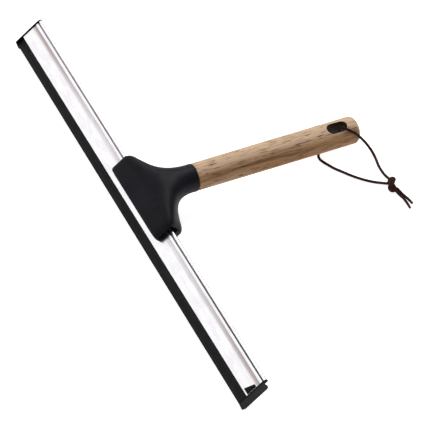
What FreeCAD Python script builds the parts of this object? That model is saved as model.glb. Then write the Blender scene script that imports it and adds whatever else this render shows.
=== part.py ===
"""Window cleaning squeegee, lying on a table on its two end caps and the end of its handle.

Design frame: X along the blade, Y up its front face, Z out of that face, with the origin
at the middle of the face's lower edge. Everything is built there, then laid down as one.
"""
import FreeCAD, Part
import math
import os

Vec = FreeCAD.Vector
X_AXIS = Vec(1, 0, 0)
Y_AXIS = Vec(0, 1, 0)
Z_AXIS = Vec(0, 0, 1)

# --- driving dimensions, millimetres and degrees ---------------------------------------
BLADE_LENGTH = 400.0
WALL = 1.2                 # wall of the aluminium extrusion
CHANNEL_DEPTH = 9.0        # front face to back face
FACE_BOTTOM = -0.6         # lower edge of the front wall
FACE_TOP = 15.6            # where the face ends and the groove under the bead begins
CHAMBER_TOP = 14.8         # top of the box section behind the face
CHAMBER_ROUND = 3.0
BEAD_TOP = 18.7
BEAD_RADIUS = 1.25
GROOVE_WIDTH = 0.7
GROOVE_DEPTH = 0.9
FLANGE_THICKNESS = 2.2     # the face's flange above the box section
COVE_LOW = 10.4            # shallow cove along the face
COVE_HIGH = 13.6
COVE_DEPTH = 0.22
SLOT_TOP = 7.2             # rubber slot, from the face's lower edge
MOUTH_DEPTH = 3.5          # opening of the rubber slot, behind the front wall
FIT = 0.15                 # sliding clearance of rubber, caps and head

LIP_LEFT = -8.6            # rubber lip, a little wider at its right end
LIP_RIGHT = -9.7
LIP_FRONT = -2.3
LIP_BACK = -4.2
RUBBER_CORNER = 1.0

CAP_THICKNESS = 1.2
CAP_STANDOFF = 0.1
PLUG_LENGTH = 8.0
CAP_PROUD = 0.7            # front of the caps, above the face
CAP_EDGE = 0.25            # the rest of their outline, beyond the channel
CAP_CORNER = 1.2           # circle that touches the table, which sets the resting tilt
CAP_CORNER_Y = -9.1
CAP_CORNER_Z = -7.6
CAP_FOOT = {               # lower corners of each cap on that table line: y, z, radius
    -1: [(-12.18, -8.9, 2.4), (-7.8, CAP_PROUD, 0.8)],
    1: [(-9.33, -8.9, 0.8), (-11.7, -7.139, 1.2), (-8.6, CAP_PROUD, 0.8)],
}

CLIP_END_GAP = 0.5         # clip to the end of the channel
CLIP_LONG = 6.6
CLIP_SHORT = 2.8
CLIP_LOW = 0.6
CLIP_HIGH = 9.6
CLIP_FIT = 0.06

HEAD_HALF_LENGTH = 40.0
HEAD_BOTTOM = 5.0
HEAD_FRONT = 6.5
HEAD_BACK = -13.0
HEAD_POCKET_DEPTH = 5.0    # recess in each end of the head, round the channel
HEAD_POCKET_FRONT = 3.4
COLLAR_RADIUS = 10.9
COLLAR_LENGTH = 5.0
COLLAR_ROUND = 0.9

COVER_HALF_LENGTH = 35.0
COVER_TOP = 21.5
COVER_BOTTOM = 3.0
COVER_GAP = 0.15
SCREW_X = 26.0
SCREW_Y = 17.6
SCREW_RADIUS = 1.5
SCREW_HEAD_RADIUS = 2.8
SCREW_HEAD_HEIGHT = 2.0
SCREW_END_Z = -3.7
SCREW_HOLE_FIT = 0.06

HANDLE_ANGLE = 42.3        # handle axis below the blade's face plane
RING_Y = 48.6              # centre of the joint between collar and wood
RING_Z = -22.2
HANDLE_RADIUS = 10.7
HANDLE_BELLY = 0.08
HANDLE_LENGTH = 138.5
HANDLE_END_ROUND = 6.0
TENON_RADIUS = 6.5
TENON_LENGTH = 18.0
SOCKET_FIT = 0.06
HANG_SLOT_CENTRE = 118.9
HANG_SLOT_LENGTH = 16.4
HANG_SLOT_WIDTH = 9.0
HANG_SLOT_ROLL = 10.0      # the hole is turned a little about the handle's axis
HANDLE_SCREW_AT = -10.0    # along the handle axis from the joint, inside the collar
HANDLE_SCREW_DEPTH = 6.0
HANDLE_SCREW_RADIUS = 1.25
CROSS_HALF_LENGTH = 1.7    # cross recess in every screw's head
CROSS_HALF_WIDTH = 0.35
CROSS_DEPTH = 1.1

CORD_DIAMETER = 2.1
ORIGIN_Y = 91.464          # the origin, forward of the face's lower edge along the table

# Cord routes on the table, in the finished frame: +Z up, table at zero.
UPPER_ROUTE = [
    (0.0, 82.0, 12.0),
    (0.8, 82.6, 16.4),
    (1.9, 83.3, 20.8),
    (4.4, 84.9, 24.2),
    (7.8, 87.5, 23.0),
    (10.6, 91.0, 18.8),
    (12.6, 94.7, 13.8),
    (14.4, 97.9, 8.6),
    (17.2, 100.1, 4.0),
    (21.8, 101.0, 1.6),
    (28.2, 100.3, 1.1),
    (34.8, 99.0, 1.1),
    (41.6, 98.8, 1.1),
    (47.6, 99.5, 1.1),
    (51.6, 100.8, 1.6),
]
LOWER_ROUTE = [
    (0.0, 82.0, 12.0),
    (-0.8, 81.4, 7.6),
    (-1.0, 79.3, 3.2),
    (-0.7, 75.1, 1.06),
    (0.3, 70.7, 1.06),
    (1.0, 66.3, 1.06),
    (3.6, 62.9, 1.1),
    (7.9, 61.8, 1.1),
    (12.4, 63.2, 1.1),
    (17.0, 65.4, 1.1),
    (22.2, 68.0, 1.1),
    (27.4, 71.7, 1.1),
    (32.8, 75.2, 1.1),
    (38.4, 79.5, 1.1),
    (43.6, 84.2, 1.1),
    (48.0, 89.0, 1.1),
    (51.0, 93.4, 1.1),
    (54.0, 96.9, 1.6),
]
TAIL_LONG_ROUTE = [
    (63.0, 99.1, 2.0),
    (67.2, 99.4, 1.2),
    (72.0, 100.4, 1.1),
    (77.0, 100.8, 1.1),
    (83.0, 101.4, 1.1),
]
TAIL_SHORT_ROUTE = [
    (61.6, 101.1, 2.0),
    (65.6, 102.4, 1.2),
    (70.2, 103.1, 1.1),
    (75.0, 104.4, 1.1),
    (79.6, 105.0, 1.1),
]
KNOT_CENTRE = (57.2, 99.1, 2.9)
KNOT_HALF = (7.2, 3.6, 2.9)
KNOT_TURN = -20.0

HALF_BLADE = BLADE_LENGTH / 2
HANDLE_DIRECTION = (math.cos(math.radians(HANDLE_ANGLE)), -math.sin(math.radians(HANDLE_ANGLE)))


# --- helpers ---------------------------------------------------------------------------
def rounded_outline(corners, x):
    """Closed wire in the plane at x; corners are (y, z, radius), with tangent arcs."""
    count = len(corners)
    points = [Vec(x, y, z) for y, z, _ in corners]
    starts, ends, middles = [], [], []
    for i in range(count):
        here, radius = points[i], corners[i][2]
        back = (points[i - 1] - here).normalize()
        ahead = (points[(i + 1) % count] - here).normalize()
        half = back.getAngle(ahead) / 2
        reach = radius / math.tan(half) if radius else 0.0
        starts.append(here + back * reach)
        ends.append(here + ahead * reach)
        bisector = (back + ahead).normalize() if radius else Vec()
        middles.append(here + bisector * (radius / math.sin(half) - radius))
    edges = []
    for i in range(count):
        if corners[i][2]:
            edges.append(Part.Arc(starts[i], middles[i], ends[i]).toShape())
        following = (i + 1) % count
        if (starts[following] - ends[i]).Length > 1e-6:
            edges.append(Part.LineSegment(ends[i], starts[following]).toShape())
    return Part.Wire(edges)


def prism(corners, x_from, x_to):
    """Solid with a section of (y, z, radius) corners between two stations along X."""
    return Part.Face(rounded_outline(corners, x_from)).extrude(Vec(x_to - x_from, 0, 0))


def block(x_from, x_to, y_from, y_to, z_from, z_to):
    corner = Vec(x_from, y_from, z_from)
    return Part.makeBox(x_to - x_from, y_to - y_from, z_to - z_from, corner)


def on_handle(shape):
    """From the handle's own frame, +Y along its axis from the collar joint, to the design frame."""
    placed = shape.copy()
    placed.rotate(Vec(), X_AXIS, -HANDLE_ANGLE)
    placed.translate(Vec(0, RING_Y, RING_Z))
    return placed


def pan_screw(length, radius):
    """Screw along +Z: underside of the head at zero, head below it, cross recess in the head."""
    shank = Part.makeCylinder(radius, length - radius)
    point = Part.makeCone(radius, 0.3, radius, Vec(0, 0, length - radius))
    head = Part.makeCylinder(SCREW_HEAD_RADIUS, SCREW_HEAD_HEIGHT, Vec(0, 0, -SCREW_HEAD_HEIGHT))
    outer = [e for e in head.Edges if abs(e.CenterOfMass.z + SCREW_HEAD_HEIGHT) < 1e-6]
    head = head.makeFillet(0.7, outer)
    screw = head.fuse(shank).fuse(point)
    for turn in (0, 90):
        recess = block(
            -CROSS_HALF_LENGTH, CROSS_HALF_LENGTH, -CROSS_HALF_WIDTH, CROSS_HALF_WIDTH,
            -SCREW_HEAD_HEIGHT - 0.1, -SCREW_HEAD_HEIGHT + CROSS_DEPTH)
        recess.rotate(Vec(), Z_AXIS, turn)
        screw = screw.cut(recess)
    return screw.removeSplitter()


def route_wire(route):
    """Straight runs joined by tangent arcs; also gives the arcs' radii."""
    points = [Vec(*p) for p in route]
    edges, radii = [], []
    start = points[0]
    for before, here, after in zip(points, points[1:], points[2:]):
        back, ahead = before - here, after - here
        half_turn = (math.pi - back.getAngle(ahead)) / 2
        reach = 0.45 * min(back.Length, ahead.Length)
        radius = reach / math.tan(half_turn)
        back.normalize()
        ahead.normalize()
        bisector = (back + ahead).normalize()
        middle = here + bisector * (radius / math.cos(half_turn) - radius)
        arc_start, arc_end = here + back * reach, here + ahead * reach
        edges.append(Part.LineSegment(start, arc_start).toShape())
        edges.append(Part.Arc(arc_start, middle, arc_end).toShape())
        radii.append(radius)
        start = arc_end
    edges.append(Part.LineSegment(start, points[-1]).toShape())
    return Part.Wire(edges), radii


def cord_tube(name, route):
    """Round cord along a route, with its radii and volume printed for comparison."""
    wire, radii = route_wire(route)
    direction = Vec(*route[1]) - Vec(*route[0])
    ring = Part.Wire(Part.makeCircle(CORD_DIAMETER / 2, Vec(*route[0]), direction))
    tube = wire.makePipeShell([ring], True, True, 2)
    expected = math.pi * (CORD_DIAMETER / 2) ** 2 * wire.Length
    print(name, "length", round(wire.Length, 2), "least radius", round(min(radii), 2),
          "radii", [round(r, 1) for r in radii],
          "volume", round(tube.Volume, 2), "of", round(expected, 2), "valid", tube.isValid())
    return tube


# --- blade -----------------------------------------------------------------------------
def channel():
    back = -CHANNEL_DEPTH
    bead_y = BEAD_TOP - BEAD_RADIUS
    outline = [
        (FACE_BOTTOM, 0, 0.2),
        (FACE_TOP, 0, 0.25),
        (FACE_TOP, -GROOVE_DEPTH, 0),
        (FACE_TOP + GROOVE_WIDTH, -GROOVE_DEPTH, 0),
        (FACE_TOP + GROOVE_WIDTH, -FLANGE_THICKNESS, 0),
        (CHAMBER_TOP, -FLANGE_THICKNESS, 0.4),
        (CHAMBER_TOP, back, CHAMBER_ROUND),
        (0, back, 0.4),
        (0, -WALL - MOUTH_DEPTH, 0),
        (WALL, -WALL - MOUTH_DEPTH, 0),
        (WALL, back + WALL, 0),
        (SLOT_TOP, back + WALL, 0),
        (SLOT_TOP, -WALL, 0),
        (FACE_BOTTOM, -WALL, 0),
    ]
    body = prism(outline, -HALF_BLADE, HALF_BLADE)
    bead = Part.makeCylinder(BEAD_RADIUS, BLADE_LENGTH, Vec(-HALF_BLADE, bead_y, -BEAD_RADIUS), X_AXIS)
    body = body.fuse(bead)
    chamber = prism(
        [
            (SLOT_TOP + WALL, -WALL, 0),
            (CHAMBER_TOP - WALL, -WALL - FLANGE_THICKNESS + WALL, 0),
            (CHAMBER_TOP - WALL, back + WALL, CHAMBER_ROUND - WALL),
            (SLOT_TOP + WALL, back + WALL, 0),
        ],
        -HALF_BLADE, HALF_BLADE)
    cove_width = COVE_HIGH - COVE_LOW
    cove_radius = (cove_width ** 2 / 4 + COVE_DEPTH ** 2) / (2 * COVE_DEPTH)
    cove_centre = Vec(-HALF_BLADE, (COVE_LOW + COVE_HIGH) / 2, cove_radius - COVE_DEPTH)
    cove = Part.makeCylinder(cove_radius, BLADE_LENGTH, cove_centre, X_AXIS)
    window = clip_prism(0.0, -WALL - 0.1, 0.5)
    return body.cut(chamber).cut(cove).cut(window).removeSplitter()


def clip_prism(margin, z_from, z_to):
    """Trapezoid of the lock clip between two depths, drawn in by a margin all round."""
    end = HALF_BLADE - CLIP_END_GAP - margin
    low, high = CLIP_LOW + margin, CLIP_HIGH - margin
    corners = [
        Vec(end - CLIP_LONG + 2 * margin, low, z_from),
        Vec(end, low, z_from),
        Vec(end, high, z_from),
        Vec(end - CLIP_SHORT + 2 * margin, high, z_from),
    ]
    face = Part.Face(Part.makePolygon(corners + corners[:1]))
    return face.extrude(Vec(0, 0, z_to - z_from))


def rubber_lock_clip():
    return clip_prism(CLIP_FIT, -WALL, -0.12)


def rubber_outline(x, lip):
    front = -WALL - FIT
    back = -WALL - MOUTH_DEPTH + FIT
    root_back = -CHANNEL_DEPTH + WALL + FIT
    return rounded_outline(
        [
            (SLOT_TOP - FIT, front, 0.4),
            (SLOT_TOP - FIT, root_back, 0.4),
            (WALL + FIT, root_back, 0.4),
            (WALL + FIT, back, 0),
            (-1.6, back, 2.0),
            (lip, LIP_BACK, 0.15),
            (lip, LIP_FRONT, 0.15),
            (-1.0, front, 3.0),
        ],
        x)


def rubber_blade():
    ends = [rubber_outline(-HALF_BLADE, LIP_LEFT), rubber_outline(HALF_BLADE, LIP_RIGHT)]
    body = Part.makeLoft(ends, True, True)
    for side, lip in ((-1, LIP_LEFT), (1, LIP_RIGHT)):
        corner = block(0, RUBBER_CORNER, lip - 1, lip + RUBBER_CORNER, -20, 5)
        corner = corner.cut(Part.makeCylinder(RUBBER_CORNER, 30, Vec(0, lip + RUBBER_CORNER, -25)))
        if side < 0:
            corner = corner.mirror(Vec(), X_AXIS)
        corner.translate(Vec(side * (HALF_BLADE - RUBBER_CORNER), 0, 0))
        body = body.cut(corner)
    return body


def end_cap(side):
    """Thin plate that closes one end of the blade, with a plug in the upper chamber."""
    edge = CAP_EDGE
    outline = [
        (FACE_TOP + 0.3, CAP_PROUD, 0.5),
        (BEAD_TOP + edge, -0.1, 0.8),
        (BEAD_TOP + edge, -FLANGE_THICKNESS - edge, 0.6),
        (CHAMBER_TOP + edge, -FLANGE_THICKNESS - edge, 0.5),
        (CHAMBER_TOP + edge, -CHANNEL_DEPTH - edge, CHAMBER_ROUND),
    ] + CAP_FOOT[side]
    inner = HALF_BLADE + CAP_STANDOFF
    plate = prism(outline, inner, inner + CAP_THICKNESS)
    rim = [e for e in plate.Edges if e.BoundBox.XMin > inner + CAP_THICKNESS - 1e-6]
    plate = plate.makeFillet(0.35, rim)
    plug = prism(
        [
            (SLOT_TOP + WALL + FIT, -FLANGE_THICKNESS - FIT, 0.3),
            (CHAMBER_TOP - WALL - FIT, -FLANGE_THICKNESS - FIT, 0.3),
            (CHAMBER_TOP - WALL - FIT, -CHANNEL_DEPTH + WALL + FIT, CHAMBER_ROUND - WALL),
            (SLOT_TOP + WALL + FIT, -CHANNEL_DEPTH + WALL + FIT, 0.3),
        ],
        inner - PLUG_LENGTH, inner + 0.5)
    cap = plate.fuse(plug).removeSplitter()
    if side < 0:
        cap = cap.mirror(Vec(), X_AXIS)
    return cap


# --- head ------------------------------------------------------------------------------
def head_sections():
    """Stations up the head: y, z, heading, half width, half depth, squareness."""
    mid = (HEAD_FRONT + HEAD_BACK) / 2
    half = (HEAD_FRONT - HEAD_BACK) / 2
    along_y, along_z = HANDLE_DIRECTION
    return [
        (HEAD_BOTTOM, mid, 0, HEAD_HALF_LENGTH - 0.6, half - 0.4, 9),
        (HEAD_BOTTOM + 1.2, mid, 0, HEAD_HALF_LENGTH, half, 9),
        (19.5, mid, 0, HEAD_HALF_LENGTH, half, 9),
        (23.2, mid - 0.7, -6, 37.2, half - 0.1, 6),
        (26.2, mid - 1.6, -13, 30.0, half - 0.1, 4),
        (29.4, mid - 3.1, -22, 22.4, half + 0.1, 3),
        (33.0, mid - 5.6, -31, 16.6, 10.2, 2.5),
        (37.2, mid - 8.9, -38, 13.2, 10.5, 2.15),
        (RING_Y - 9.0 * along_y, RING_Z - 9.0 * along_z, -HANDLE_ANGLE, 11.4, 10.7, 2),
        (RING_Y - 3.0 * along_y, RING_Z - 3.0 * along_z, -HANDLE_ANGLE, 10.85, 10.85, 2),
    ]


def section_wire(y, z, heading, half_width, half_depth, squareness, count=32):
    turn = math.radians(heading)
    points = []
    for i in range(count):
        angle = 2 * math.pi * (i + 0.5) / count
        c, s = math.cos(angle), math.sin(angle)
        across = half_width * math.copysign(abs(c) ** (2 / squareness), c)
        out = half_depth * math.copysign(abs(s) ** (2 / squareness), s)
        points.append(Vec(across, y - out * math.sin(turn), z + out * math.cos(turn)))
    curve = Part.BSplineCurve()
    curve.interpolate(points, PeriodicFlag=True)
    return Part.Wire(curve.toShape())


def head_blank():
    """Outer shape of the head: a slab that narrows and bends into a round collar."""
    loft = Part.makeLoft([section_wire(*s) for s in head_sections()], True, False)
    collar = Part.makeCylinder(COLLAR_RADIUS, COLLAR_LENGTH, Vec(0, -COLLAR_LENGTH, 0), Y_AXIS)
    rims = [e for e in collar.Edges if abs(e.BoundBox.YMin) < 1e-6 and e.BoundBox.YLength < 1e-6]
    collar = collar.makeFillet(COLLAR_ROUND, rims)
    return loft.fuse(on_handle(collar))


def cover_zone(margin):
    """Room for the clamp cover behind the channel."""
    half = COVER_HALF_LENGTH + margin
    back = -CHANNEL_DEPTH - FIT + margin
    return block(-half, half, COVER_BOTTOM - 30 * margin, COVER_TOP + margin, -30, back)


def channel_passage():
    reach = HEAD_HALF_LENGTH + 5
    box_part = block(-reach, reach, -20, CHAMBER_TOP + FIT, -CHANNEL_DEPTH - FIT, FIT)
    flange_part = block(-reach, reach, 0, BEAD_TOP + 2 * FIT, -FLANGE_THICKNESS - 3 * FIT, FIT)
    return box_part.fuse(flange_part)


def end_pocket(side):
    inner, outer = HEAD_HALF_LENGTH - HEAD_POCKET_DEPTH, HEAD_HALF_LENGTH + 5
    pocket = block(inner, outer, HEAD_BOTTOM + 2.6, 20.8, -5.2, HEAD_POCKET_FRONT)
    return pocket if side > 0 else pocket.mirror(Vec(), X_AXIS)


def screw_places():
    return [Vec(side * SCREW_X, SCREW_Y, HEAD_BACK + SCREW_HEAD_HEIGHT + 0.1) for side in (-1, 1)]


def cover_screws():
    places = screw_places()
    length = SCREW_END_Z - places[0].z
    screws = []
    for place in places:
        screw = pan_screw(length, SCREW_RADIUS)
        screw.translate(place)
        screws.append(screw)
    return Part.makeCompound(screws)


def screw_holes(extra):
    holes = []
    for place in screw_places():
        length = SCREW_END_Z - place.z + 0.3
        holes.append(Part.makeCylinder(SCREW_RADIUS + extra, length, place))
    return holes


def handle_screw_in_handle_frame():
    """The screw under the collar: head down, point up into the tenon."""
    length = COLLAR_RADIUS - SCREW_HEAD_HEIGHT - TENON_RADIUS + HANDLE_SCREW_DEPTH
    screw = pan_screw(length, HANDLE_SCREW_RADIUS)
    screw.translate(Vec(0, HANDLE_SCREW_AT, -COLLAR_RADIUS + SCREW_HEAD_HEIGHT + 0.2))
    return screw


def handle_screw_room():
    seat_z = -COLLAR_RADIUS + SCREW_HEAD_HEIGHT + 0.2
    head_room = Part.makeCylinder(SCREW_HEAD_RADIUS + 0.25, 10, Vec(0, HANDLE_SCREW_AT, seat_z - 10))
    bore_length = COLLAR_RADIUS - SCREW_HEAD_HEIGHT - TENON_RADIUS + HANDLE_SCREW_DEPTH + 0.3
    bore_radius = HANDLE_SCREW_RADIUS + SCREW_HOLE_FIT
    bore = Part.makeCylinder(bore_radius, bore_length, Vec(0, HANDLE_SCREW_AT, seat_z))
    return head_room.fuse(bore)


def head_body(blank):
    socket = Part.makeCylinder(
        TENON_RADIUS + SOCKET_FIT, TENON_LENGTH + 1.0, Vec(0, -TENON_LENGTH - 1.0, 0), Y_AXIS)
    body = blank.cut(channel_passage()).cut(cover_zone(COVER_GAP))
    body = body.cut(on_handle(socket)).cut(on_handle(handle_screw_room()))
    for side in (-1, 1):
        body = body.cut(end_pocket(side))
    for hole in screw_holes(SCREW_HOLE_FIT):
        body = body.cut(hole)
    return body


def head_clamp_cover(blank):
    cover = blank.common(cover_zone(0.0))
    for place in screw_places():
        head_room = Part.makeCylinder(SCREW_HEAD_RADIUS + 0.3, 10, place - Vec(0, 0, 10))
        cover = cover.cut(head_room)
    for hole in screw_holes(0.2):
        cover = cover.cut(hole)
    return cover


# --- handle ----------------------------------------------------------------------------
def wooden_handle():
    """Turned handle about +Y of its own frame, with a tenon and a hanging slot."""
    shoulder = 0.05
    round_from = HANDLE_LENGTH - HANDLE_END_ROUND
    belly = Vec(HANDLE_RADIUS + HANDLE_BELLY, round_from / 2, 0)
    corner = Vec(HANDLE_RADIUS, round_from, 0)
    turn = math.radians(50)
    bulge = Vec(HANDLE_RADIUS * math.cos(turn), round_from + HANDLE_END_ROUND * math.sin(turn), 0)
    pole = Vec(0, HANDLE_LENGTH, 0)
    tenon_end, tenon_edge = Vec(0, -TENON_LENGTH, 0), Vec(TENON_RADIUS, -TENON_LENGTH, 0)
    tenon_root = Vec(TENON_RADIUS, shoulder, 0)
    rim_in, rim_out = Vec(HANDLE_RADIUS - 0.45, shoulder, 0), Vec(HANDLE_RADIUS - 0.1, shoulder + 0.5, 0)
    edges = [
        Part.makeLine(tenon_end, tenon_edge),
        Part.makeLine(tenon_edge, tenon_root),
        Part.makeLine(tenon_root, rim_in),
        Part.makeLine(rim_in, rim_out),
        Part.Arc(rim_out, belly, corner).toShape(),
        end_curve(corner, bulge, pole),
        Part.makeLine(pole, tenon_end),
    ]
    body = Part.Face(Part.Wire(edges)).revolve(Vec(), Y_AXIS, 360)
    half_straight = (HANG_SLOT_LENGTH - HANG_SLOT_WIDTH) / 2
    radius = HANG_SLOT_WIDTH / 2
    slot = block(-radius, radius, -half_straight, half_straight, -20, 20)
    for end in (-half_straight, half_straight):
        slot = slot.fuse(Part.makeCylinder(radius, 40, Vec(0, end, -20)))
    slot = slot.removeSplitter()
    slot.rotate(Vec(), Y_AXIS, HANG_SLOT_ROLL)
    slot.translate(Vec(0, HANG_SLOT_CENTRE, 0))
    body = body.cut(slot)
    bore_start = Vec(0, HANDLE_SCREW_AT, -TENON_RADIUS - 0.5)
    bore_radius = HANDLE_SCREW_RADIUS + SCREW_HOLE_FIT
    screw_bore = Part.makeCylinder(bore_radius, HANDLE_SCREW_DEPTH + 1, bore_start)
    return on_handle(body.cut(screw_bore))


def end_curve(corner, bulge, pole):
    """Quarter-ellipse-like end of the handle, square to the axis at its pole."""
    curve = Part.BSplineCurve()
    curve.interpolate([corner, bulge, pole], InitialTangent=Y_AXIS * 12, FinalTangent=Vec(-14, 0, 0))
    return curve.toShape()


# --- cord ------------------------------------------------------------------------------
def cord_knot():
    knot = Part.makeSphere(1.0)
    scale = FreeCAD.Matrix()
    scale.scale(*KNOT_HALF)
    knot = knot.transformGeometry(scale)
    knot.rotate(Vec(), Z_AXIS, KNOT_TURN)
    knot.translate(Vec(*KNOT_CENTRE))
    return knot


# --- laying down -----------------------------------------------------------------------
def resting_tilt():
    """Angle between the blade's face and the table when the caps and the handle's end touch it."""
    along_y, along_z = HANDLE_DIRECTION
    reach = HANDLE_LENGTH - HANDLE_END_ROUND
    run = RING_Y + along_y * reach - CAP_CORNER_Y
    drop = -(RING_Z + along_z * reach - CAP_CORNER_Z)
    distance = math.hypot(run, drop)
    return math.atan2(drop, run) + math.asin((HANDLE_RADIUS - CAP_CORNER) / distance)


TILT = resting_tilt()
REST_HEIGHT = CAP_CORNER_Y * math.sin(TILT) + CAP_CORNER_Z * math.cos(TILT) - CAP_CORNER


def lay_down(shape):
    laid = shape.copy()
    laid.rotate(Vec(), X_AXIS, math.degrees(TILT))
    laid.translate(Vec(0, -ORIGIN_Y, -REST_HEIGHT))
    return laid


def main():
    os.makedirs("parts", exist_ok=True)
    blank = head_blank()
    pieces = {
        "aluminium_channel": channel(),
        "rubber_blade": rubber_blade(),
        "rubber_lock_clip": rubber_lock_clip(),
        "left_end_cap": end_cap(-1),
        "right_end_cap": end_cap(1),
        "head_body": head_body(blank),
        "head_clamp_cover": head_clamp_cover(blank),
        "cover_screws": cover_screws(),
        "handle_screw": on_handle(handle_screw_in_handle_frame()),
        "wooden_handle": wooden_handle(),
    }
    laid = {name: lay_down(shape) for name, shape in pieces.items()}
    box = Part.makeCompound(list(laid.values())).optimalBoundingBox(False)
    print("tilt", math.degrees(TILT), "object box", box)
    print("box middle", box.Center)
    laid["cord_upper_strand"] = cord_tube("cord_upper_strand", UPPER_ROUTE)
    laid["cord_lower_strand"] = cord_tube("cord_lower_strand", LOWER_ROUTE)
    laid["cord_tail_long"] = cord_tube("cord_tail_long", TAIL_LONG_ROUTE)
    laid["cord_tail_short"] = cord_tube("cord_tail_short", TAIL_SHORT_ROUTE)
    laid["cord_knot"] = cord_knot()
    for name, shape in laid.items():
        solids = len(shape.Solids)
        print(name, "solids", solids, "volume", round(shape.Volume, 1), "valid", shape.isValid())
        shape.exportStep("parts/" + name + ".step")


main()
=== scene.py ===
"""Looks of the window cleaning squeegee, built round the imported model.

Pieces are made in millimetres in the blade's frame (X along the blade, Y up its face,
Z out of it) or in the handle's frame (Y along the handle from the collar joint), and
then laid down into the row frame in metres, as the CAD source does.
"""
import math

import bpy
from mathutils import Matrix, Vector


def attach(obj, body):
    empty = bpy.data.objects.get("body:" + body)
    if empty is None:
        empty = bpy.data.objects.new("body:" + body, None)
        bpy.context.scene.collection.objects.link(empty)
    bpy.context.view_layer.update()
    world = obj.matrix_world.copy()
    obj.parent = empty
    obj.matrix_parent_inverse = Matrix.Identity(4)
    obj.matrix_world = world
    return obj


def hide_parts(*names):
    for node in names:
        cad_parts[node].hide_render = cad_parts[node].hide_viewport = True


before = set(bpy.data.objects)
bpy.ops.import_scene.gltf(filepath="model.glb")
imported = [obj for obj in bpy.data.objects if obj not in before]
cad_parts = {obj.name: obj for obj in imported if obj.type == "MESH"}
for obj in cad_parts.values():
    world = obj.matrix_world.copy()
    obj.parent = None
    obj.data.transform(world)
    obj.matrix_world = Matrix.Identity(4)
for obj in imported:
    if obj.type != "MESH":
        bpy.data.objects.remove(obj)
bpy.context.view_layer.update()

# --- dimensions shared with the CAD source, millimetres and degrees --------------------
TILT = 36.59350820042003
ORIGIN_Y = 91.464
LIFT = 12.7267
HALF_BLADE = 200.0
WALL = 1.2
CHANNEL_DEPTH = 9.0
FACE_TOP = 15.6
CHAMBER_TOP = 14.8
BEAD_TOP = 18.7
GROOVE_WIDTH = 0.7
FLANGE_THICKNESS = 2.2
COVE_LOW = 10.4
COVE_HIGH = 13.6
SLOT_TOP = 7.2
MOUTH_DEPTH = 3.5
FIT = 0.15
LIP_LEFT = -8.6
LIP_RIGHT = -9.7
LIP_FRONT = -2.3
LIP_BACK = -4.2
RUBBER_CORNER = 1.0

HEAD_HALF_LENGTH = 40.0
HEAD_BOTTOM = 5.0
HEAD_FRONT = 6.5
HEAD_BACK = -13.0
HEAD_POCKET_DEPTH = 5.0
HEAD_POCKET_FRONT = 3.4
COLLAR_RADIUS = 10.9
COLLAR_LENGTH = 5.0
COVER_HALF_LENGTH = 35.0
COVER_BOTTOM = 3.0
COVER_TOP = 21.5
SCREW_X = 26.0
SCREW_Y = 17.6
SCREW_RADIUS = 1.5
SCREW_HEAD_RADIUS = 2.8

HANDLE_ANGLE = 42.3
RING_Y = 48.6
RING_Z = -22.2
HANDLE_RADIUS = 10.7
HANDLE_BELLY = 0.08
HANDLE_LENGTH = 138.5
HANDLE_END_ROUND = 6.0
TENON_RADIUS = 6.5
TENON_LENGTH = 18.0
HANG_SLOT_CENTRE = 118.9
HANG_SLOT_LENGTH = 16.4
HANG_SLOT_WIDTH = 9.0
HANG_SLOT_ROLL = 10.0
SLOT_MOUTH_ROUND = 0.75
SLOT_MOUTH_SLOPE = 70
HANDLE_SCREW_AT = -10.0

MM = 0.001
BLADE = (
    Matrix.Translation((0, -ORIGIN_Y * MM, LIFT * MM))
    @ Matrix.Rotation(math.radians(TILT), 4, "X")
    @ Matrix.Diagonal((MM, MM, MM, 1))
)
HANDLE_IN_BLADE = Matrix.Translation((0, RING_Y, RING_Z)) @ Matrix.Rotation(
    math.radians(-HANDLE_ANGLE), 4, "X"
)
HANDLE = BLADE @ HANDLE_IN_BLADE

# --- camera ----------------------------------------------------------------------------
CAMERA_AZIMUTH = 66.06237506902796
CAMERA_ELEVATION = 49.22381445454968
CAMERA_ROLL = -2.1113661077471395
CAMERA_TARGET = (0.0301223, -0.0365751, 0.010)
CAMERA_DISTANCE = 3.76516
CAMERA_LENS = 418.6

# --- light: place and size in metres, power in watts --------------------------------------
KEY_LIGHT = ((-1.1, 0.5, 1.6), (1.3, 1.3), 25.0)
FILL_LIGHT = ((1.2, -1.4, 1.5), (1.6, 1.6), 2.0)
CARD_LIGHT = ((-1.7, -1.85, 1.35), (2.0, 1.7), 8.4)    # what the blade's face reflects
WORLD_STRENGTH = 0.38
FLOOR_GLOW = 0.78
FLOOR_HALF = 4.0

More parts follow.
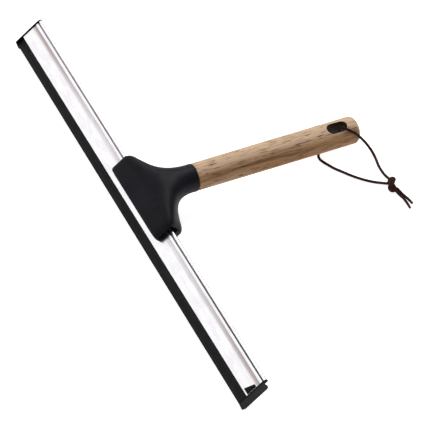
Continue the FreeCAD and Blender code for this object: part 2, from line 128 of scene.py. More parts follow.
# --- cord routes, near the CAD source's, in metres --------------------------------------
CORD_RADIUS = 0.00105
UPPER_ROUTE = [
    (0.0, 0.082, 0.012),
    (0.0008, 0.0826, 0.0164),
    (0.0022, 0.0829, 0.0202),
    (0.0047, 0.0838, 0.0228),
    (0.0073, 0.0871, 0.02095),
    (0.0092, 0.0901, 0.01885),
    (0.011, 0.0931, 0.0161),
    (0.0128, 0.0957, 0.012),
    (0.0149, 0.0984, 0.0076),
    (0.0176, 0.1002, 0.0037),
    (0.0218, 0.101, 0.0016),
    (0.0282, 0.1003, 0.0011),
    (0.0348, 0.099, 0.0011),
    (0.0416, 0.0988, 0.0011),
    (0.0476, 0.0995, 0.0011),
    (0.0516, 0.1008, 0.0016),
]
LOWER_ROUTE = [
    (0.0, 0.082, 0.012),
    (-0.0008, 0.0814, 0.0076),
    (-0.001, 0.0793, 0.0032),
    (-0.0007, 0.0751, 0.00106),
    (0.0003, 0.0707, 0.00106),
    (0.001, 0.0663, 0.00106),
    (0.0036, 0.0629, 0.0011),
    (0.0079, 0.0618, 0.0011),
    (0.0124, 0.0632, 0.0011),
    (0.017, 0.0654, 0.0011),
    (0.0222, 0.068, 0.0011),
    (0.0274, 0.0717, 0.0011),
    (0.0328, 0.0752, 0.0011),
    (0.0384, 0.0795, 0.0011),
    (0.0436, 0.0842, 0.0011),
    (0.048, 0.089, 0.0011),
    (0.051, 0.0934, 0.0011),
    (0.054, 0.0969, 0.0016),
]
TAIL_LONG_ROUTE = [
    (0.063, 0.0991, 0.002),
    (0.0672, 0.0999, 0.0012),
    (0.072, 0.1013, 0.0011),
    (0.0768, 0.1015, 0.0011),
    (0.083, 0.1014, 0.0011),
]
TAIL_SHORT_ROUTE = [
    (0.0616, 0.1011, 0.002),
    (0.0656, 0.1018, 0.0012),
    (0.0704, 0.10305, 0.0011),
    (0.0752, 0.1043, 0.0011),
    (0.0796, 0.105, 0.0011),
]
KNOT_CENTRE = (57.2, 99.1, 2.9)
KNOT_TURN = -20.0
KNOT_STRAND_RADIUS = 1.06
KNOT_STRAND_OFFSET = 0.92    # each strand, to its side of the middle line
# The doubled cord's middle line through the knot: along, across and up from its centre.
KNOT_PATH = [
    (-4.4, -1.8, -1.5),
    (-1.6, -0.9, -1.6),
    (1.6, 0.2, -1.5),
    (4.8, 1.1, -0.9),
    (6.2, -0.4, -0.1),
    (4.8, -2.1, 0.5),
    (1.8, -1.3, 1.4),
    (-1.2, 0.6, 1.9),
    (-4.2, 1.7, 1.4),
    (-5.7, 0.2, 0.2),
    (-4.0, -1.2, -0.5),
    (-1.0, -0.6, 0.1),
    (2.0, 0.6, 0.1),
    (4.4, 1.8, -0.8),
    (5.9, 2.4, -1.6),
]


# --- mesh helpers ----------------------------------------------------------------------
def link(name, data):
    made = bpy.data.objects.new(name, data)
    bpy.context.scene.collection.objects.link(made)
    return made


def mesh_object(name, points, faces):
    mesh = bpy.data.meshes.new(name)
    mesh.from_pydata([tuple(p) for p in points], [], faces)
    mesh.validate()
    mesh.update()
    return link(name, mesh)


def loft_object(name, rings):
    """Closed skin through rings of equal length, with both ends filled."""
    count = len(rings[0])
    points = [p for ring in rings for p in ring]
    faces = []
    for r in range(len(rings) - 1):
        for i in range(count):
            j = (i + 1) % count
            low, high = r * count, (r + 1) * count
            faces.append((low + i, low + j, high + j, high + i))
    last = (len(rings) - 1) * count
    faces.append(tuple(reversed(range(count))))
    faces.append(tuple(last + i for i in range(count)))
    made = mesh_object(name, points, faces)
    face_outwards(made.data)
    return made


def face_outwards(mesh):
    """Turns a closed mesh's faces outwards, by the sign of its volume."""
    volume = 0.0
    for face in mesh.polygons:
        corners = [mesh.vertices[v].co for v in face.vertices]
        for a, b in zip(corners[1:], corners[2:]):
            volume += corners[0].dot(a.cross(b))
    if volume < 0:
        mesh.flip_normals()


def revolve_object(name, profile, sides):
    """Turned solid about Y through (distance along, radius) stations, poles included."""
    rings = []
    for along, radius in profile:
        turn = [2 * math.pi * i / sides for i in range(sides)]
        rings.append([(radius * math.sin(a), along, radius * math.cos(a)) for a in turn])
    return loft_object(name, rings)


def box_object(name, low, high):
    (x0, y0, z0), (x1, y1, z1) = low, high
    bottom = [(x0, y0, z0), (x1, y0, z0), (x1, y1, z0), (x0, y1, z0)]
    top = [(x, y, z1) for x, y, _ in bottom]
    return loft_object(name, [bottom, top])


def apply_modifiers(obj):
    graph = bpy.context.evaluated_depsgraph_get()
    mesh = bpy.data.meshes.new_from_object(obj.evaluated_get(graph))
    obj.modifiers.clear()
    obj.data = mesh


def combine(obj, operation, *others):
    """Boolean of obj with each of the others in turn, which are then removed."""
    for other in others:
        modifier = obj.modifiers.new("boolean", "BOOLEAN")
        modifier.operation = operation
        modifier.solver = "EXACT"
        modifier.object = other
        apply_modifiers(obj)
        bpy.data.objects.remove(other)
    return obj


def soften(obj, voxel, rounds, factor=0.5):
    """Even remesh, then smoothing, which leaves a moulded radius on every edge."""
    remesh = obj.modifiers.new("remesh", "REMESH")
    remesh.mode = "VOXEL"
    remesh.voxel_size = voxel
    remesh.adaptivity = 0.0
    smooth = obj.modifiers.new("smooth", "SMOOTH")
    smooth.factor = factor
    smooth.iterations = rounds
    apply_modifiers(obj)
    return obj


def settle(obj, place, sharp_degrees=None):
    """Lays a piece down into the row frame with smooth faces."""
    obj.data.transform(place)
    obj.data.shade_smooth()
    if sharp_degrees:
        obj.data.set_sharp_from_angle(angle=math.radians(sharp_degrees))
    return obj


def finish_piece(obj, material, body, slot, *nodes):
    obj.data.materials.clear()
    obj.data.materials.append(material)
    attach(obj, body)
    if nodes:
        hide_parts(*nodes)
    return obj


def rounded_outline(corners, steps=6):
    """Points round an outline of (y, z, radius) corners with tangent arcs."""
    points = []
    count = len(corners)
    for i, (y, z, radius) in enumerate(corners):
        here = Vector((y, z))
        back = (Vector(corners[i - 1][:2]) - here).normalized()
        ahead = (Vector(corners[(i + 1) % count][:2]) - here).normalized()
        half = back.angle(ahead) / 2
        if not radius:
            points.append(here)
            continue
        centre = here + (back + ahead).normalized() * (radius / math.sin(half))
        reach = radius / math.tan(half)
        start, end = here + back * reach - centre, here + ahead * reach - centre
        for step in range(steps + 1):
            share = step / steps
            arm = (start * (1 - share) + end * share).normalized() * radius
            points.append(centre + arm)
    return points


# --- cord pieces -----------------------------------------------------------------------
def nurbs_curve(name, route, bevel, taper=()):
    data = bpy.data.curves.new(name, "CURVE")
    data.dimensions = "3D"
    spline = data.splines.new("NURBS")
    spline.points.add(len(route) - 1)
    for point, place in zip(spline.points, route):
        point.co = (*place, 1.0)
    for index, radius in taper:
        spline.points[index].radius = radius
    spline.order_u = 3
    spline.use_endpoint_u = True
    data.resolution_u = 14
    data.bevel_depth = bevel
    data.bevel_resolution = 6
    data.use_fill_caps = bevel > 0
    return link(name, data)


def spline_points(route, name):
    """Points along the smooth line through a route, read from its unbevelled curve."""
    guide = nurbs_curve(name, route, 0.0)
    bpy.context.view_layer.update()
    line = bpy.data.meshes.new_from_object(guide)
    points = [v.co.copy() for v in line.vertices]
    bpy.data.objects.remove(guide)
    return points


def tube_rings(points, radius, offset, sides=20):
    """Rings round a line that runs beside the points, offset across them in their plane."""
    rings = []
    side = None
    last = len(points) - 1
    for i, here in enumerate(points):
        ahead = (points[min(i + 1, last)] - points[max(i - 1, 0)]).normalized()
        wanted = Vector((0, 0, 1)).cross(ahead)
        wanted = wanted.normalized() if wanted.length > 0.2 else side
        side = wanted if side is None else (side * 0.7 + wanted * 0.3).normalized()
        side = (side - ahead * side.dot(ahead)).normalized()
        up = ahead.cross(side)
        middle = here + side * offset
        turns = [2 * math.pi * k / sides for k in range(sides)]
        rings.append([middle + side * (radius * math.cos(t)) + up * (radius * math.sin(t)) for t in turns])
    return rings


def make_knot(material):
    """Overhand knot in the doubled cord: two strands side by side, drawn tight."""
    points = spline_points(KNOT_PATH, "knot_guide")
    knot = None
    for side in (-1, 1):
        rings = tube_rings(points, KNOT_STRAND_RADIUS, side * KNOT_STRAND_OFFSET)
        strand = loft_object("knot_strand", rings)
        if knot is None:
            knot = strand
        else:
            knot.data.update()
            with bpy.context.temp_override(
                active_object=knot, selected_editable_objects=[knot, strand]
            ):
                bpy.ops.object.join()
    knot.name = "knot_of_doubled_cord"
    soften(knot, 0.13, 2)
    turn = Matrix.Rotation(math.radians(KNOT_TURN), 4, "Z")
    place = Matrix.Diagonal((MM, MM, MM, 1)) @ Matrix.Translation(KNOT_CENTRE) @ turn
    settle(knot, place)
    return finish_piece(knot, material, "holder", "cord_leather", "cord_knot")


def make_cord(leather):
    upper = nurbs_curve("cord_strand_upper", UPPER_ROUTE, CORD_RADIUS)
    lower = nurbs_curve("cord_strand_lower", LOWER_ROUTE, CORD_RADIUS)
    cut_end = ((-1, 0.9),)
    tail_long = nurbs_curve("cord_end_long", TAIL_LONG_ROUTE, CORD_RADIUS, cut_end)
    tail_short = nurbs_curve("cord_end_short", TAIL_SHORT_ROUTE, CORD_RADIUS, cut_end)
    pieces = {
        upper: "cord_upper_strand",
        lower: "cord_lower_strand",
        tail_long: "cord_tail_long",
        tail_short: "cord_tail_short",
    }
    for piece, node in pieces.items():
        finish_piece(piece, leather, "holder", "cord_leather", node)
    knot = make_knot(leather)


# --- blade -----------------------------------------------------------------------------
def make_rubber(material):
    """The rubber insert, wider toward its right end, with rounded corners on its lip."""
    front = -WALL - FIT
    back = -WALL - MOUTH_DEPTH + FIT
    root_back = -CHANNEL_DEPTH + WALL + FIT
    edge = 0.18
    stations = [(0.0, edge), (0.05, 0.08), (edge, 0.0)]
    stations += [(edge + 0.14 * i, 0.0) for i in range(1, 16)]
    stations += [(3.0 + 7.0 * i, 0.0) for i in range(1, 56)]
    places = [(-HALF_BLADE + inset, inset, shrink) for inset, shrink in stations]
    places += [(HALF_BLADE - inset, inset, shrink) for inset, shrink in reversed(stations)]
    rings = []
    for x, inset, shrink in places:
        lip = LIP_LEFT + (LIP_RIGHT - LIP_LEFT) * (x + HALF_BLADE) / (2 * HALF_BLADE)
        outline = rounded_outline(
            [
                (SLOT_TOP - FIT, front, 0.4),
                (SLOT_TOP - FIT, root_back, 0.4),
                (WALL + FIT, root_back, 0.4),
                (WALL + FIT, back, 0.2),
                (-1.6, back, 2.0),
                (lip, LIP_BACK, 0.18),
                (lip, LIP_FRONT, 0.18),
                (-1.0, front, 3.0),
            ]
        )
        middle = Vector(((SLOT_TOP + lip) / 2, (front + root_back) / 2))
        reach = max(RUBBER_CORNER - inset, 0.0)
        floor = lip + RUBBER_CORNER - math.sqrt(max(RUBBER_CORNER**2 - reach**2, 0.0))
        ring = []
        for spot in outline:
            spot = spot - (spot - middle).normalized() * shrink
            ring.append((x, max(spot[0], floor), spot[1]))
        if not rings or x > rings[-1][0][0] + 1e-4:
            rings.append(ring)
    rubber = loft_object("rubber_insert", rings)
    settle(rubber, BLADE, 35)
    return finish_piece(rubber, material, "blade_insert", "blade_rubber", "rubber_blade")


# --- head ------------------------------------------------------------------------------
def head_sections():
    """Stations up the head: y, z, heading, half width, half depth, squareness."""
    mid = (HEAD_FRONT + HEAD_BACK) / 2
    half = (HEAD_FRONT - HEAD_BACK) / 2
    turn = math.radians(HANDLE_ANGLE)
    along_y, along_z = math.cos(turn), -math.sin(turn)
    return [
        (HEAD_BOTTOM, mid, 0, HEAD_HALF_LENGTH - 0.6, half - 0.4, 9),
        (HEAD_BOTTOM + 1.2, mid, 0, HEAD_HALF_LENGTH, half, 9),
        (19.5, mid, 0, HEAD_HALF_LENGTH, half, 9),
        (23.2, mid - 0.7, -6, 37.2, half - 0.1, 6),
        (26.2, mid - 1.6, -13, 30.0, half - 0.1, 4),
        (29.4, mid - 3.1, -22, 22.4, half + 0.1, 3),
        (33.0, mid - 5.6, -31, 16.6, 10.2, 2.5),
        (37.2, mid - 8.9, -38, 13.2, 10.5, 2.15),
        (RING_Y - 9.0 * along_y, RING_Z - 9.0 * along_z, -HANDLE_ANGLE, 11.4, 10.7, 2),
        (RING_Y - 3.0 * along_y, RING_Z - 3.0 * along_z, -HANDLE_ANGLE, 10.85, 10.85, 2),
    ]


def section_points(y, z, heading, half_width, half_depth, squareness, count=128):
    turn = math.radians(heading)
    points = []
    for i in range(count):
        angle = 2 * math.pi * (i + 0.5) / count
        c, s = math.cos(angle), math.sin(angle)
        across = half_width * math.copysign(abs(c) ** (2 / squareness), c)
        out = half_depth * math.copysign(abs(s) ** (2 / squareness), s)
        points.append(Vector((across, y - out * math.sin(turn), z + out * math.cos(turn))))
    return points


def smooth_between(before, low, high, after, share):
    """Cubic through four points, between the middle two."""
    near, far = (high - before) / 2, (after - low) / 2
    s2, s3 = share * share, share**3
    return (
        low * (2 * s3 - 3 * s2 + 1)
        + near * (s3 - 2 * s2 + share)
        + high * (3 * s2 - 2 * s3)
        + far * (s3 - s2)
    )


def head_blank(name):
    """Outer shape of the head: a slab that narrows and bends into a round collar."""
    sections = [section_points(*s) for s in head_sections()]
    straight = 2
    rings = sections[: straight + 1]
    for k in range(straight, len(sections) - 1):
        before, low, high = sections[k - 1], sections[k], sections[k + 1]
        after = sections[min(k + 2, len(sections) - 1)]
        if k == straight:
            before = [Vector((p.x, p.y - 3.7, p.z)) for p in low]
        steps = 6
        for step in range(1, steps + 1):
            share = step / steps
            rings.append([smooth_between(*four, share) for four in zip(before, low, high, after)])
    blank = loft_object(name, rings)
    rim = COLLAR_RADIUS
    profile = [(-COLLAR_LENGTH, 0.01), (-COLLAR_LENGTH, rim), (-1.1, rim)]
    for step in range(1, 9):
        turn = math.radians(90 * step / 8)
        profile.append((-0.9 + 0.9 * math.sin(turn), rim - 0.9 + 0.9 * math.cos(turn)))
    profile.append((0.0, 0.01))
    collar = revolve_object(name + "_collar", profile, 128)
    collar.data.transform(HANDLE_IN_BLADE)
    return combine(blank, "UNION", collar)


def cylinder_object(name, radius, along_from, along_to, place):
    made = revolve_object(
        name,
        [(along_from, 0.01), (along_from, radius), (along_to, radius), (along_to, 0.01)],
        64,
    )
    made.data.transform(place)
    return made


def cover_zone(name, margin):
    half = COVER_HALF_LENGTH + margin
    return box_object(
        name,
        (-half, COVER_BOTTOM - 30 * margin, -30),
        (half, COVER_TOP + margin, -CHANNEL_DEPTH - FIT + margin),
    )


def screw_place(side):
    """Frame whose Y runs out of the back of the head along a screw."""
    return Matrix.Translation((side * SCREW_X, SCREW_Y, 0)) @ Matrix.Rotation(math.radians(-90), 4, "X")


def make_head(material):
    body = head_blank("head_moulding")
    ease = 0.3
    reach = HEAD_HALF_LENGTH + 5
    cutters = [
        box_object("c1", (-reach, -20, -CHANNEL_DEPTH - ease), (reach, CHAMBER_TOP + ease, ease)),
        box_object("c2", (-reach, 0, -FLANGE_THICKNESS - 3 * ease), (reach, BEAD_TOP + 2 * ease, ease)),
        cover_zone("c3", 0.3),
        cylinder_object("c4", TENON_RADIUS + 0.1, -TENON_LENGTH - 1.0, 1.0, HANDLE_IN_BLADE),
    ]
    for side in (-1, 1):
        inner, outer = HEAD_HALF_LENGTH - HEAD_POCKET_DEPTH, HEAD_HALF_LENGTH + 5
        span = (inner, outer) if side > 0 else (-outer, -inner)
        cutters.append(
            box_object(
                "c5",
                (span[0], HEAD_BOTTOM + 2.6, -5.2),
                (span[1], 20.8, HEAD_POCKET_FRONT),
            )
        )
        cutters.append(cylinder_object("c6", SCREW_RADIUS + 0.2, 3.4, 14.0, screw_place(side)))
    screw_room = HANDLE_IN_BLADE @ Matrix.Translation((0, HANDLE_SCREW_AT, 0))
    screw_room = screw_room @ Matrix.Rotation(math.radians(-90), 4, "X")
    cutters.append(cylinder_object("c7", SCREW_HEAD_RADIUS + 0.25, COLLAR_RADIUS - 2.2, 20.0, screw_room))
    combine(body, "DIFFERENCE", *cutters)
    soften(body, 0.42, 6)
    settle(body, BLADE)
    return finish_piece(body, material, "holder", "head_plastic", "head_body")


def make_cover(material):
    cover = head_blank("head_cover")
    combine(cover, "INTERSECT", cover_zone("zone", 0.0))
    for side in (-1, 1):
        seat = -HEAD_BACK - 2.1
        head_room = cylinder_object("c8", SCREW_HEAD_RADIUS + 0.3, seat, seat + 10, screw_place(side))
        bore = cylinder_object("c9", SCREW_RADIUS + 0.2, 1.0, 20.0, screw_place(side))
        combine(cover, "DIFFERENCE", head_room, bore)
    soften(cover, 0.3, 4)
    settle(cover, BLADE)
    return finish_piece(cover, material, "holder", "head_plastic", "head_clamp_cover")


# --- handle ----------------------------------------------------------------------------
def handle_profile():
    """Stations (along, radius) of the turned handle, tenon included."""
    round_from = HANDLE_LENGTH - HANDLE_END_ROUND
    stations = [(-TENON_LENGTH, 0.01), (-TENON_LENGTH, TENON_RADIUS - 0.4)]
    stations += [(-TENON_LENGTH + 0.4, TENON_RADIUS), (0.05, TENON_RADIUS)]
    stations += [(0.05, HANDLE_RADIUS - 0.5), (0.12, HANDLE_RADIUS - 0.3), (0.3, HANDLE_RADIUS - 0.14)]
    steps = 180
    for i in range(steps + 1):
        share = i / steps
        along = 0.6 + (round_from - 0.6) * share
        swell = HANDLE_BELLY * (1 - (2 * share - 1) ** 2)
        stations.append((along, HANDLE_RADIUS - 0.06 * (1 - share) + swell))
    for i in range(1, 25):
        turn = math.radians(90 * i / 24)
        radius = max(HANDLE_RADIUS * math.cos(turn), 0.02)
        stations.append((round_from + HANDLE_END_ROUND * math.sin(turn), radius))
    return stations


def slot_outline(grow, count=72):
    """Stadium outline of the hanging hole, grown outwards by grow."""
    radius = HANG_SLOT_WIDTH / 2
    straight = (HANG_SLOT_LENGTH - HANG_SLOT_WIDTH) / 2
    outline = []
    for i in range(count):
        angle = 2 * math.pi * (i + 0.5) / count
        c, s = math.cos(angle), math.sin(angle)
        end = straight if s > 0 else -straight
        outline.append(((radius + grow) * c, end + (radius + grow) * s))
    return outline


def slot_cutter():
    """The hanging hole with sanded mouths that follow the round surface."""
    layers = []
    for degrees in (0, 12, 24, 36, 48, 60, SLOT_MOUTH_SLOPE):
        turn = math.radians(degrees)
        layers.append((SLOT_MOUTH_ROUND * (1 - math.cos(turn)), SLOT_MOUTH_ROUND * (1 - math.sin(turn))))
    slope = math.radians(SLOT_MOUTH_SLOPE)
    layers.append((layers[-1][0] + 1.2 * math.sin(slope), layers[-1][1] - 1.2 * math.cos(slope)))
    rings = []
    for side in (-1, 1):
        mouth = []
        for grow, below in layers:
            ring = []
            for x, along in slot_outline(grow):
                height = math.sqrt(HANDLE_RADIUS**2 - x * x) - below
                ring.append((x, along, side * height))
            mouth.append(ring)
        mouth.append([(x, along, side * HANDLE_RADIUS * 1.3) for x, along, _ in mouth[-1]])
        rings += mouth if side > 0 else reversed(mouth)
    cutter = loft_object("slot_cutter", rings)
    roll = Matrix.Rotation(math.radians(HANG_SLOT_ROLL), 4, "Y")
    cutter.data.transform(Matrix.Translation((0, HANG_SLOT_CENTRE, 0)) @ roll)
    return cutter


def make_handle(material):
    handle = revolve_object("oak_handle", handle_profile(), 192)
    combine(handle, "DIFFERENCE", slot_cutter())
    settle(handle, HANDLE, 40)
    return finish_piece(handle, material, "holder", "oak", "wooden_handle")


# --- materials -------------------------------------------------------------------------
class Look:
    """A node material: each call adds one node and gives its output."""

    def __init__(self, name):
        self.material = bpy.data.materials.new(name)
        self.material.use_nodes = True
        self.tree = self.material.node_tree
        self.shader = self.tree.nodes["Principled BSDF"]

    def feed(self, socket, value):
        if isinstance(value, bpy.types.NodeSocket):
            self.tree.links.new(value, socket)
        else:
            socket.default_value = value

    def add(self, kind, inputs=(), output=0, **settings):
        made = self.tree.nodes.new(kind)
        for key, value in settings.items():
            setattr(made, key, value)
        for key, value in dict(inputs).items():
            self.feed(made.inputs[key], value)
        return made.outputs[output]

    def set(self, **values):
        for key, value in values.items():
            self.feed(self.shader.inputs[key.replace("_", " ")], value)

    def millimetres(self, place):
        """Object coordinates turned back into a piece's own frame, in millimetres."""
        back = place.inverted()
        _, turn, scale = back.decompose()
        inputs = {"Vector": self.add("ShaderNodeTexCoord", output="Object")}
        inputs["Location"] = back.to_translation()
        inputs["Rotation"] = turn.to_euler()
        inputs["Scale"] = scale
        return self.add("ShaderNodeMapping", inputs)

    def stretch(self, vector, scale):
        return self.add("ShaderNodeMapping", {"Vector": vector, "Scale": scale})

    def axis(self, vector, name):
        return self.add("ShaderNodeSeparateXYZ", {"Vector": vector}, output=name)

    def calc(self, operation, *values):
        return self.add("ShaderNodeMath", dict(enumerate(values)), operation=operation)

    def noise(self, vector, scale=1.0, detail=3.0, roughness=0.55, distortion=0.0):
        inputs = {"Vector": vector, "Scale": scale, "Detail": detail}
        inputs.update({"Roughness": roughness, "Distortion": distortion})
        return self.add("ShaderNodeTexNoise", inputs)

    def fade(self, value, low, high, to_low=0.0, to_high=1.0):
        inputs = {0: value, 1: low, 2: high, 3: to_low, 4: to_high}
        return self.add("ShaderNodeMapRange", inputs, interpolation_type="SMOOTHSTEP")

    def band(self, value, low, high, soft):
        """One between low and high, falling to nought over soft on either side."""
        rise = self.fade(value, low - soft, low + soft)
        fall = self.fade(value, high - soft, high + soft, 1.0, 0.0)
        return self.calc("MULTIPLY", rise, fall)

    def mix(self, share, low, high):
        made = self.tree.nodes.new("ShaderNodeMix")
        made.data_type = "RGBA"
        self.feed(made.inputs[0], share)
        self.feed(made.inputs[6], low)
        self.feed(made.inputs[7], high)
        return made.outputs[2]

    def bump(self, height, strength, distance):
        inputs = {"Height": height, "Strength": strength, "Distance": distance}
        self.set(Normal=self.add("ShaderNodeBump", inputs, output="Normal"))


# OAK_DARK also serves as the painted shade of the handle's lower flank
OAK_DARK = (0.17, 0.080, 0.033, 1)
OAK_LIGHT = (0.50, 0.295, 0.140, 1)
OAK_WARM = (0.35, 0.165, 0.068, 1)
# OAK_PALE also serves as the painted light of the handle's upper flank
OAK_PALE = (0.84, 0.61, 0.42, 1)
OAK_PORE = (0.045, 0.017, 0.008, 1)
OAK_RIM = (0.78, 0.60, 0.42, 1)
# painted shade for the inside of the hanging hole
OAK_BORE_SHADE = (0.030, 0.006, 0.003, 1)


def oak():
    look = Look("oiled_oak")
    own = look.millimetres(HANDLE)
    grain = look.stretch(own, (1.0, 0.055, 1.0))
    heart = look.add("ShaderNodeMapping", {"Vector": grain, "Location": (31.0, 0.0, 17.0)})
    rings = look.add(
        "ShaderNodeTexWave",
        {"Vector": heart, "Scale": 0.13, "Distortion": 5.0, "Detail": 2.0, "Detail Scale": 0.5},
        output="Fac",
        wave_type="RINGS",
        rings_direction="Y",
        wave_profile="SIN",
    )
    streaks = look.noise(look.stretch(own, (0.62, 0.022, 0.62)), detail=5.0, roughness=0.62)
    wide = look.noise(look.stretch(own, (0.14, 0.012, 0.14)), detail=2.0)
    fibres = look.noise(look.stretch(own, (3.2, 0.09, 3.2)), detail=3.0, roughness=0.6)
    dashes = look.noise(look.stretch(own, (1.5, 0.10, 1.5)), detail=2.0, roughness=0.5)
    pores = look.fade(dashes, 0.555, 0.63)
    early = look.fade(rings, 0.35, 0.75)
    pores = look.calc("MULTIPLY", pores, look.calc("MULTIPLY_ADD", early, 0.5, 0.5))
    colour = look.mix(look.fade(streaks, 0.34, 0.66), OAK_DARK, OAK_LIGHT)
    colour = look.mix(look.calc("MULTIPLY", early, 0.42), colour, OAK_WARM)
    colour = look.mix(look.calc("MULTIPLY", look.fade(wide, 0.42, 0.62), 0.25), colour, OAK_PALE)
    colour = look.mix(look.calc("MULTIPLY", look.fade(fibres, 0.35, 0.7), 0.28), colour, OAK_DARK)
    # painted shade: the handle's lower flank (+X in its own frame) is darkened toward OAK_DARK, standing in
    # for the side the key lamp misses
    painted_shade_side = look.fade(look.axis(own, "X"), 6.5, HANDLE_RADIUS)
    colour = look.mix(look.calc("MULTIPLY", painted_shade_side, 0.35), colour, OAK_DARK)
    # painted light: the handle's upper flank (-X in its own frame) is lightened toward OAK_PALE, standing
    # in for where the key lamp falls
    painted_light_side = look.fade(look.axis(own, "X"), 2.5, 9.5, 1.0, 0.0)
    colour = look.mix(look.calc("MULTIPLY", painted_light_side, 0.62), colour, OAK_PALE)
    colour = look.mix(look.calc("MULTIPLY", pores, 0.9), colour, OAK_PORE)
    roll = look.add("ShaderNodeMapping", {"Vector": own, "Rotation": (0, math.radians(-HANG_SLOT_ROLL), 0)})
    across = look.axis(roll, "X")
    along = look.calc("ABSOLUTE", look.calc("SUBTRACT", look.axis(roll, "Y"), HANG_SLOT_CENTRE))
    straight = (HANG_SLOT_LENGTH - HANG_SLOT_WIDTH) / 2
    along = look.calc("MAXIMUM", look.calc("SUBTRACT", along, straight), 0.0)
    reach = look.calc(
        "SQRT", look.calc("ADD", look.calc("POWER", along, 2.0), look.calc("MULTIPLY", across, across))
    )
    rim = look.band(reach, HANG_SLOT_WIDTH / 2 + 0.3, HANG_SLOT_WIDTH / 2 + 0.75, 0.2)
    # painted shade: the inside of the hanging hole is painted near-black, standing in for the shade of the
    # deep hole
    bore = look.fade(reach, HANG_SLOT_WIDTH / 2 + 0.02, HANG_SLOT_WIDTH / 2 + 0.25, 1.0, 0.0)
    colour = look.mix(look.calc("MULTIPLY", rim, 0.55), colour, OAK_RIM)
    colour = look.mix(look.calc("MULTIPLY", bore, 0.96), colour, OAK_BORE_SHADE)
    look.set(Base_Color=colour)
    look.set(Roughness=look.fade(fibres, 0.3, 0.75, 0.46, 0.64))
    height = look.calc("SUBTRACT", look.calc("MULTIPLY", fibres, 0.35), look.calc("MULTIPLY", pores, 0.9))
    look.bump(height, 0.35, 0.00025)
    look.shader.inputs["Specular IOR Level"].default_value = 0.14
    return look.material


def aluminium():
    look = Look("bright_extrusion")
    own = look.millimetres(BLADE)
    height = look.axis(own, "Y")
    lines = look.noise(look.stretch(own, (0.012, 6.0, 6.0)), detail=3.0, roughness=0.6)
    broad = look.noise(look.stretch(own, (0.02, 0.5, 0.5)), detail=3.0)
    smears = look.noise(look.stretch(own, (0.05, 0.16, 0.16)), detail=4.0)
    front = look.fade(look.axis(own, "Z"), -1.6, -0.5)
    # painted reflection: a soft pinkish-brown band along the cove of the channel's front face, stronger
    # toward the blade's ends, standing in for the darker surroundings the cove mirrors
    cove_reflection = look.fade(height, COVE_LOW - 1.6, COVE_HIGH - 1.2)
    cove_reflection = look.calc("MULTIPLY", cove_reflection, look.fade(height, COVE_HIGH - 0.9, COVE_HIGH, 1.0, 0.0))
    left_to_right = look.fade(look.axis(own, "X"), -HALF_BLADE, HALF_BLADE)
    outward = look.calc("ABSOLUTE", look.axis(own, "X"))
    cove_reflection = look.calc("MULTIPLY", cove_reflection, front)
    cove_reflection = look.calc("MULTIPLY", cove_reflection, look.fade(outward, 60.0, 190.0, 0.42, 0.95))
    # painted shade: the groove under the bead is darkened, from grey at the blade's left end to near-black
    # at its right end
    groove = look.band(height, FACE_TOP - 0.15, FACE_TOP + GROOVE_WIDTH + 0.3, 0.08)
    groove = look.calc("MULTIPLY", groove, look.fade(look.axis(own, "Z"), -1.8, -1.0))
    groove_shade = look.mix(left_to_right, (0.25, 0.215, 0.26, 1), (0.012, 0.010, 0.012, 1))
    shade = look.fade(look.axis(own, "Z"), -0.5, -0.15, 1.0, 0.0)
    shade = look.calc("MULTIPLY", shade, look.fade(height, BEAD_TOP - 1.3, BEAD_TOP - 0.8))
    colour = look.mix(look.fade(broad, 0.3, 0.7), (0.93, 0.925, 0.94, 1), (0.97, 0.965, 0.97, 1))
    smears = look.calc("MULTIPLY", look.fade(smears, 0.42, 0.62), 0.6)
    colour = look.mix(smears, colour, (0.86, 0.81, 0.87, 1))
    colour = look.mix(cove_reflection, colour, (0.40, 0.325, 0.32, 1))
    colour = look.mix(look.calc("MULTIPLY", shade, 0.9), colour, (0.20, 0.19, 0.16, 1))
    colour = look.mix(look.calc("MULTIPLY", groove, 0.92), colour, groove_shade)
    look.set(Base_Color=colour)
    look.set(Roughness=look.fade(lines, 0.25, 0.75, 0.20, 0.34))
    look.shader.inputs["Metallic"].default_value = 1.0
    look.bump(lines, 0.10, 0.00006)
    return look.material


def moulded_plastic(name, colour, roughness, grain):
    look = Look(name)
    own = look.millimetres(BLADE)
    fine = look.noise(own, scale=grain, detail=2.0, roughness=0.6)
    cloud = look.noise(own, scale=0.07, detail=3.0)
    rubbed = look.noise(look.stretch(own, (0.25, 0.9, 0.9)), detail=4.0, roughness=0.7)
    lighter = tuple(min(1.0, c * 1.6 + 0.0015) for c in colour[:3]) + (1,)
    tint = look.mix(look.fade(cloud, 0.3, 0.7), colour, lighter)
    tint = look.mix(look.calc("MULTIPLY", look.fade(rubbed, 0.55, 0.8), 0.3), tint, lighter)
    look.set(Base_Color=tint)
    look.set(Roughness=look.fade(rubbed, 0.3, 0.7, roughness - 0.05, roughness + 0.07))
    look.shader.inputs["Specular IOR Level"].default_value = 0.12
    look.bump(fine, 0.22, 0.00006)
    return look.material


def rubber_look():
    look = Look("matt_rubber")
    own = look.millimetres(BLADE)
    run = look.noise(look.stretch(own, (0.03, 2.4, 2.4)), detail=4.0, roughness=0.6)
    bloom = look.noise(look.stretch(own, (0.06, 0.3, 0.3)), detail=3.0)
    colour = look.mix(look.fade(bloom, 0.35, 0.7), (0.005, 0.0046, 0.0056, 1), (0.011, 0.0102, 0.0122, 1))
    scuffs = look.calc("MULTIPLY", look.fade(run, 0.5, 0.75), 0.35)
    colour = look.mix(scuffs, colour, (0.024, 0.024, 0.027, 1))
    look.set(Base_Color=colour)
    look.set(Roughness=look.fade(run, 0.3, 0.7, 0.40, 0.56))
    look.shader.inputs["Specular IOR Level"].default_value = 0.13
    look.bump(run, 0.18, 0.00006)
    return look.material


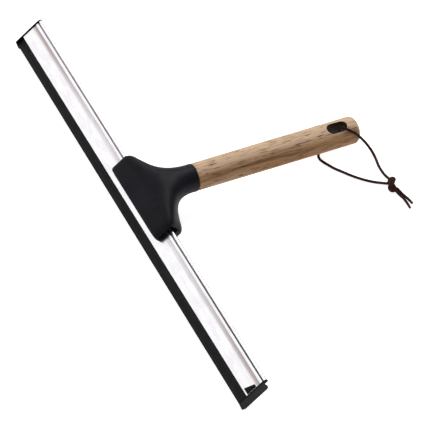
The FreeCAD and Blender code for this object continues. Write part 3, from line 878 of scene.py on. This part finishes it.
def leather_look():
    look = Look("waxed_leather")
    own = look.add("ShaderNodeTexCoord", output="Object")
    cells = look.add(
        "ShaderNodeTexVoronoi", {"Vector": own, "Scale": 2600.0, "Randomness": 1.0}, output="Distance"
    )
    grain = look.noise(own, scale=1500.0, detail=3.0)
    patches = look.noise(own, scale=260.0, detail=4.0, roughness=0.6)
    colour = look.mix(look.fade(patches, 0.35, 0.7), (0.016, 0.0038, 0.0022, 1), (0.040, 0.0110, 0.0060, 1))
    worn = look.calc("MULTIPLY", look.fade(grain, 0.55, 0.75), 0.4)
    colour = look.mix(worn, colour, (0.075, 0.024, 0.013, 1))
    look.set(Base_Color=colour)
    look.set(Roughness=look.fade(grain, 0.3, 0.7, 0.38, 0.55))
    look.shader.inputs["Specular IOR Level"].default_value = 0.1
    look.bump(look.calc("ADD", look.calc("MULTIPLY", cells, 0.6), grain), 0.3, 0.0001)
    return look.material


def steel_look():
    look = Look("zinc_steel")
    own = look.millimetres(BLADE)
    crystals = look.add("ShaderNodeTexVoronoi", {"Vector": own, "Scale": 1.3}, output="Color")
    dull = look.noise(own, scale=0.8, detail=4.0)
    colour = look.mix(look.fade(dull, 0.4, 0.7), (0.60, 0.60, 0.62, 1), (0.40, 0.39, 0.38, 1))
    colour = look.mix(0.12, colour, crystals)
    look.set(Base_Color=colour)
    look.set(Roughness=look.fade(dull, 0.3, 0.7, 0.28, 0.45))
    look.shader.inputs["Metallic"].default_value = 1.0
    look.bump(dull, 0.15, 0.00005)
    return look.material


def floor_look():
    look = Look("pale_floor")
    own = look.add("ShaderNodeTexCoord", output="Object")
    cloud = look.noise(own, scale=1.2, detail=2.0)
    look.set(Base_Color=look.mix(cloud, (0.86, 0.86, 0.86, 1), (0.88, 0.88, 0.88, 1)))
    look.shader.inputs["Roughness"].default_value = 0.9
    look.shader.inputs["Specular IOR Level"].default_value = 0.0
    look.shader.inputs["Emission Color"].default_value = (1, 1, 1, 1)
    look.shader.inputs["Emission Strength"].default_value = FLOOR_GLOW
    return look.material


# --- stage -----------------------------------------------------------------------------
def make_camera():
    a, e = math.radians(CAMERA_AZIMUTH), math.radians(CAMERA_ELEVATION)
    roll = math.radians(CAMERA_ROLL)
    back = Vector((math.sin(a) * math.cos(e), -math.cos(a) * math.cos(e), math.sin(e)))
    level = Vector((math.cos(a), math.sin(a), 0))
    upright = back.cross(level)
    right = level * math.cos(roll) + upright * math.sin(roll)
    up = back.cross(right)
    data = bpy.data.cameras.new("camera")
    data.lens = CAMERA_LENS
    data.sensor_width = 36.0
    data.clip_start, data.clip_end = 0.5, 50.0
    camera = link("camera", data)
    turn = Matrix((right, up, back)).transposed().to_4x4()
    camera.matrix_world = Matrix.Translation(Vector(CAMERA_TARGET) + back * CAMERA_DISTANCE) @ turn
    bpy.context.scene.camera = camera


def make_light(name, place, size, power, aim=(0.0, 0.0, 0.0)):
    data = bpy.data.lights.new(name, "AREA")
    data.shape = "RECTANGLE"
    data.size, data.size_y = size
    data.energy = power
    light = link(name, data)
    light.location = place
    light.rotation_mode = "QUATERNION"
    light.rotation_quaternion = (Vector(place) - Vector(aim)).to_track_quat("Z", "Y")


def make_stage():
    half = FLOOR_HALF
    corners = [(-half, -half, 0), (half, -half, 0), (half, half, 0), (-half, half, 0)]
    floor = mesh_object("floor", corners, [(0, 1, 2, 3)])
    floor.data.materials.append(floor_look())
    world = bpy.data.worlds.new("studio")
    bpy.context.scene.world = world
    world.use_nodes = True
    tree = world.node_tree
    coordinate = tree.nodes.new("ShaderNodeTexCoord")
    split = tree.nodes.new("ShaderNodeSeparateXYZ")
    ramp = tree.nodes.new("ShaderNodeValToRGB")
    tree.links.new(coordinate.outputs["Generated"], split.inputs[0])
    tree.links.new(split.outputs["Z"], ramp.inputs[0])
    tree.links.new(ramp.outputs[0], tree.nodes["Background"].inputs["Color"])
    ramp.color_ramp.elements[0].position = 0.0
    ramp.color_ramp.elements[0].color = (0.62, 0.62, 0.63, 1)
    ramp.color_ramp.elements[1].position = 0.7
    ramp.color_ramp.elements[1].color = (1, 1, 1, 1)
    tree.nodes["Background"].inputs["Strength"].default_value = WORLD_STRENGTH
    make_light("key", *KEY_LIGHT)
    make_light("fill", *FILL_LIGHT)
    make_light("card", *CARD_LIGHT)
    scene = bpy.context.scene
    scene.view_settings.view_transform = "Standard"
    scene.view_settings.look = "None"


def repaint(node, material):
    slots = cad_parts[node].material_slots
    for one in slots:
        one.material = material


make_camera()
leather = leather_look()
make_cord(leather)
head_plastic = moulded_plastic("matt_moulding", (0.0050, 0.0046, 0.0075, 1), 0.46, 3.2)
cap_plastic = moulded_plastic("cap_moulding", (0.0026, 0.0026, 0.0032, 1), 0.44, 4.0)
make_rubber(rubber_look())
make_head(head_plastic)
make_cover(head_plastic)
make_handle(oak())
repaint("aluminium_channel", aluminium())
for cap in ("left_end_cap", "right_end_cap", "rubber_lock_clip"):
    repaint(cap, cap_plastic)
steel = steel_look()
for screw in ("cover_screws", "handle_screw"):
    repaint(screw, steel)
make_stage()
